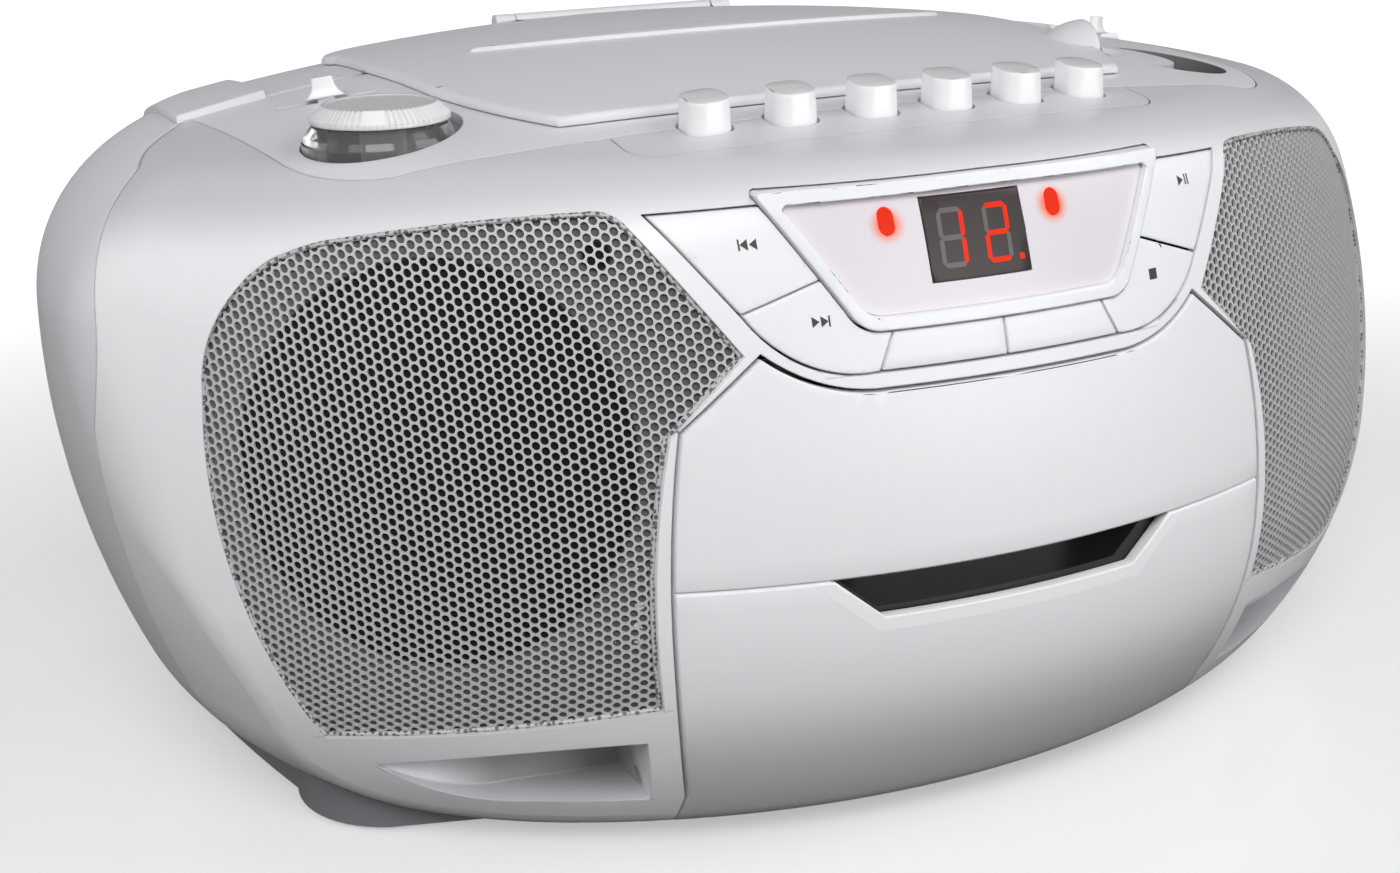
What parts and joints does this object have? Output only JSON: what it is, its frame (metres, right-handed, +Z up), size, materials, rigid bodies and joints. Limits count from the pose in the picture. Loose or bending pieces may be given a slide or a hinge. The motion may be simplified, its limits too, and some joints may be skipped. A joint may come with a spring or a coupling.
{
  "type": "portable cassette, disc and radio player",
  "caption": "Bow-fronted portable stereo with a cassette door, disc lid, round-cornered speaker grilles, display, piano-style tape keys, dials, folding handle and telescopic aerial.",
  "frame": {"origin": "on the floor under the middle of the body, at the bottom of the rubber feet", "axes": "+X to the right of someone facing the front, +Y from the front to the back, +Z up"},
  "size_m": [0.347, 0.234, 0.1616],
  "materials": {
    "silver_case": "silver-grey moulded plastic with a fine satin grain",
    "silver_front": "lighter silver-grey moulded plastic, satin",
    "white_control": "bright white semi-gloss plastic",
    "light_button": "very light grey satin plastic",
    "frosted_lens": "milky lilac-white translucent plastic, semi-gloss",
    "digit_window": "dark brown-black smoked window with a red numeral",
    "led_red": "red-orange glowing light",
    "black_window": "black smoked plastic, glossy",
    "dark_base": "dark grey moulded plastic",
    "smoked_drum": "dark smoked plastic",
    "clear_ring": "clear plastic ring over a pale scale",
    "silver_grille": "perforated sheet, silver paint",
    "black_paper": "black pressed-paper cone and basket",
    "inner_grey": "dark grey inner moulding",
    "well_grey": "dark grey satin moulding",
    "steel_plate": "zinc-plated sheet steel",
    "chrome_tube": "bright plated brass tube",
    "board_green": "green laminate with lacquer",
    "black_rubber": "soft matt rubber",
    "brass_metal": "turned brass",
    "spring_steel": "nickel-plated spring steel"
  },
  "bodies": {
    "case": {"front_shell": "silver_front", "rear_shell": "silver_case", "base_plinth": "dark_base", "top_panel": "silver_case", "key_panel": "silver_case", "display_frame": "frosted_lens", "display_lens": "frosted_lens", "digit_display": "digit_window", "indicator_leds": "led_red", "front_board": "board_green", "cassette_chassis": "steel_plate", "flywheel_bracket": "steel_plate", "cassette_motor": "steel_plate", "drive_belt": "black_rubber", "cd_well": "well_grey", "disc_drive_frame": "inner_grey", "mains_inlet": "dark_base", "grille_right": "silver_grille", "grille_left": "silver_grille", "speaker_left": "black_paper", "speaker_right": "black_paper", "rubber_feet": "black_rubber", "case_screws": "steel_plate", "main_board": "board_green", "transformer": "steel_plate", "battery_contacts": "spring_steel", "panel_controls": "inner_grey"},
    "door": {"cassette_door": "silver_front", "door_window": "black_window"},
    "volume": {"volume_dial": "white_control", "volume_hood": "clear_ring", "volume_drum": "smoked_drum"},
    "tuning": {"tuning_wheel": "smoked_drum"},
    "function_switch": {"function_slider": "white_control"},
    "band_switch": {"band_slider": "white_control"},
    "lid": {"cd_lid": "silver_case"},
    "hub": {"disc_hub": "inner_grey"},
    "pickup": {"laser_pickup": "inner_grey"},
    "carrying_handle": {"handle": "silver_case"},
    "cover": {"battery_cover": "silver_case"},
    "aerial": {"antenna_tube": "chrome_tube"},
    "aerial_mast": {"antenna_rod": "chrome_tube"},
    "flywheel": {"capstan_flywheel": "brass_metal"},
    "motor_rotor": {"motor_pulley": "brass_metal"},
    "heads": {"head_bridge": "steel_plate"},
    "roller": {"pinch_roller": "black_rubber"},
    "supply": {"supply_reel": "inner_grey"},
    "takeup": {"takeup_reel": "inner_grey"},
    "key_record_body": {"key_record": "white_control"},
    "key_play_body": {"key_play": "white_control"},
    "key_rewind_body": {"key_rewind": "white_control"},
    "key_fast_forward_body": {"key_fast_forward": "white_control"},
    "key_stop_eject_body": {"key_stop_eject": "white_control"},
    "key_pause_body": {"key_pause": "white_control"},
    "button_back_body": {"button_back": "light_button"},
    "button_next_body": {"button_next": "light_button"},
    "button_repeat_body": {"button_repeat": "light_button"},
    "button_program_body": {"button_program": "light_button"},
    "button_stop_body": {"button_stop": "light_button"},
    "button_play_pause_body": {"button_play_pause": "light_button"}
  },
  "joints": [
    {"name": "door_hinge", "type": "hinge", "parent": "case", "child": "door", "pos_m": [0, -0.086, 0.018], "axis": [1, 0, 0], "range_deg": [0, 24]},
    {"name": "key_record_press", "type": "slide", "parent": "case", "child": "key_record_body", "axis": [0, 0, -1], "range_m": [0, 0.004], "stiffness_N_per_m": 400, "springref_m": -0.001},
    {"name": "key_play_press", "type": "slide", "parent": "case", "child": "key_play_body", "axis": [0, 0, -1], "range_m": [0, 0.004], "stiffness_N_per_m": 400, "springref_m": -0.001},
    {"name": "key_rewind_press", "type": "slide", "parent": "case", "child": "key_rewind_body", "axis": [0, 0, -1], "range_m": [0, 0.004], "stiffness_N_per_m": 400, "springref_m": -0.001},
    {"name": "key_fast_forward_press", "type": "slide", "parent": "case", "child": "key_fast_forward_body", "axis": [0, 0, -1], "range_m": [0, 0.004], "stiffness_N_per_m": 400, "springref_m": -0.001},
    {"name": "key_stop_eject_press", "type": "slide", "parent": "case", "child": "key_stop_eject_body", "axis": [0, 0, -1], "range_m": [0, 0.004], "stiffness_N_per_m": 400, "springref_m": -0.001},
    {"name": "key_pause_press", "type": "slide", "parent": "case", "child": "key_pause_body", "axis": [0, 0, -1], "range_m": [0, 0.004], "stiffness_N_per_m": 400, "springref_m": -0.001},
    {"name": "button_back_press", "type": "slide", "parent": "case", "child": "button_back_body", "axis": [0, 1, 0], "range_m": [0, 0.001], "stiffness_N_per_m": 500, "springref_m": -0.0003},
    {"name": "button_next_press", "type": "slide", "parent": "case", "child": "button_next_body", "axis": [0, 1, 0], "range_m": [0, 0.001], "stiffness_N_per_m": 500, "springref_m": -0.0003},
    {"name": "button_repeat_press", "type": "slide", "parent": "case", "child": "button_repeat_body", "axis": [0, 1, 0], "range_m": [0, 0.001], "stiffness_N_per_m": 500, "springref_m": -0.0003},
    {"name": "button_program_press", "type": "slide", "parent": "case", "child": "button_program_body", "axis": [0, 1, 0], "range_m": [0, 0.001], "stiffness_N_per_m": 500, "springref_m": -0.0003},
    {"name": "button_stop_press", "type": "slide", "parent": "case", "child": "button_stop_body", "axis": [0, 1, 0], "range_m": [0, 0.001], "stiffness_N_per_m": 500, "springref_m": -0.0003},
    {"name": "button_play_pause_press", "type": "slide", "parent": "case", "child": "button_play_pause_body", "axis": [0, 1, 0], "range_m": [0, 0.001], "stiffness_N_per_m": 500, "springref_m": -0.0003},
    {"name": "volume_turn", "type": "hinge", "parent": "case", "child": "volume", "pos_m": [-0.1025, -0.023, 0.15], "axis": [0, 0, 1], "range_deg": [-150, 150]},
    {"name": "tuning_turn", "type": "hinge", "parent": "case", "child": "tuning", "pos_m": [0.103, -0.023, 0.15], "axis": [0, 0, 1], "range_deg": [-150, 150]},
    {"name": "function_slide", "type": "slide", "parent": "case", "child": "function_switch", "axis": [0.9418, -0.306, 0.139], "range_m": [-0.006, 0.006]},
    {"name": "band_slide", "type": "slide", "parent": "case", "child": "band_switch", "axis": [0.8116, 0.5683, -0.1356], "range_m": [-0.006, 0.006]},
    {"name": "lid_hinge", "type": "hinge", "parent": "case", "child": "lid", "pos_m": [0, 0.0968, 0.1559], "axis": [-1, 0, 0], "range_deg": [0, 60]},
    {"name": "hub_spin", "type": "hinge", "parent": "case", "child": "hub", "pos_m": [0, 0.02, 0.14], "axis": [0, 0, 1], "continuous": true},
    {"name": "pickup_slide", "type": "slide", "parent": "case", "child": "pickup", "axis": [0, 1, 0], "range_m": [-0.012, 0.006]},
    {"name": "handle_hinge", "type": "hinge", "parent": "case", "child": "carrying_handle", "pos_m": [0, 0.05, 0.142], "axis": [-1, 0, 0], "range_deg": [-90, 0]},
    {"name": "cover_slide", "type": "slide", "parent": "case", "child": "cover", "axis": [0, 1, 0], "range_m": [0, 0.025]},
    {"name": "aerial_swing", "type": "hinge", "parent": "case", "child": "aerial", "pos_m": [0.118, 0.105, 0.098], "axis": [0, 0, -1], "range_deg": [0, 100]},
    {"name": "aerial_pull", "type": "slide", "parent": "aerial", "child": "aerial_mast", "axis": [-1, 0, 0], "range_m": [0, 0.15]},
    {"name": "capstan_spin", "type": "hinge", "parent": "case", "child": "flywheel", "pos_m": [0.02, -0.08, 0.086], "axis": [0, 1, 0], "continuous": true},
    {"name": "motor_spin", "type": "hinge", "parent": "case", "child": "motor_rotor", "pos_m": [-0.034, -0.075, 0.044], "axis": [0, 1, 0], "continuous": true},
    {"name": "bridge_slide", "type": "slide", "parent": "case", "child": "heads", "axis": [0, 0, -1], "range_m": [0, 0.006], "stiffness_N_per_m": 150, "springref_m": -0.002},
    {"name": "roller_spin", "type": "hinge", "parent": "heads", "child": "roller", "pos_m": [0.02, -0.093, 0.0998], "axis": [0, 1, 0], "continuous": true},
    {"name": "supply_spin", "type": "hinge", "parent": "case", "child": "supply", "pos_m": [-0.02125, -0.09, 0.0615], "axis": [0, 1, 0], "continuous": true},
    {"name": "takeup_spin", "type": "hinge", "parent": "case", "child": "takeup", "pos_m": [0.02125, -0.09, 0.0615], "axis": [0, 1, 0], "continuous": true}
  ],
  "couplings": [
    {"joint": "motor_spin", "follows": "capstan_spin", "ratio": 4.5714}
  ]
}
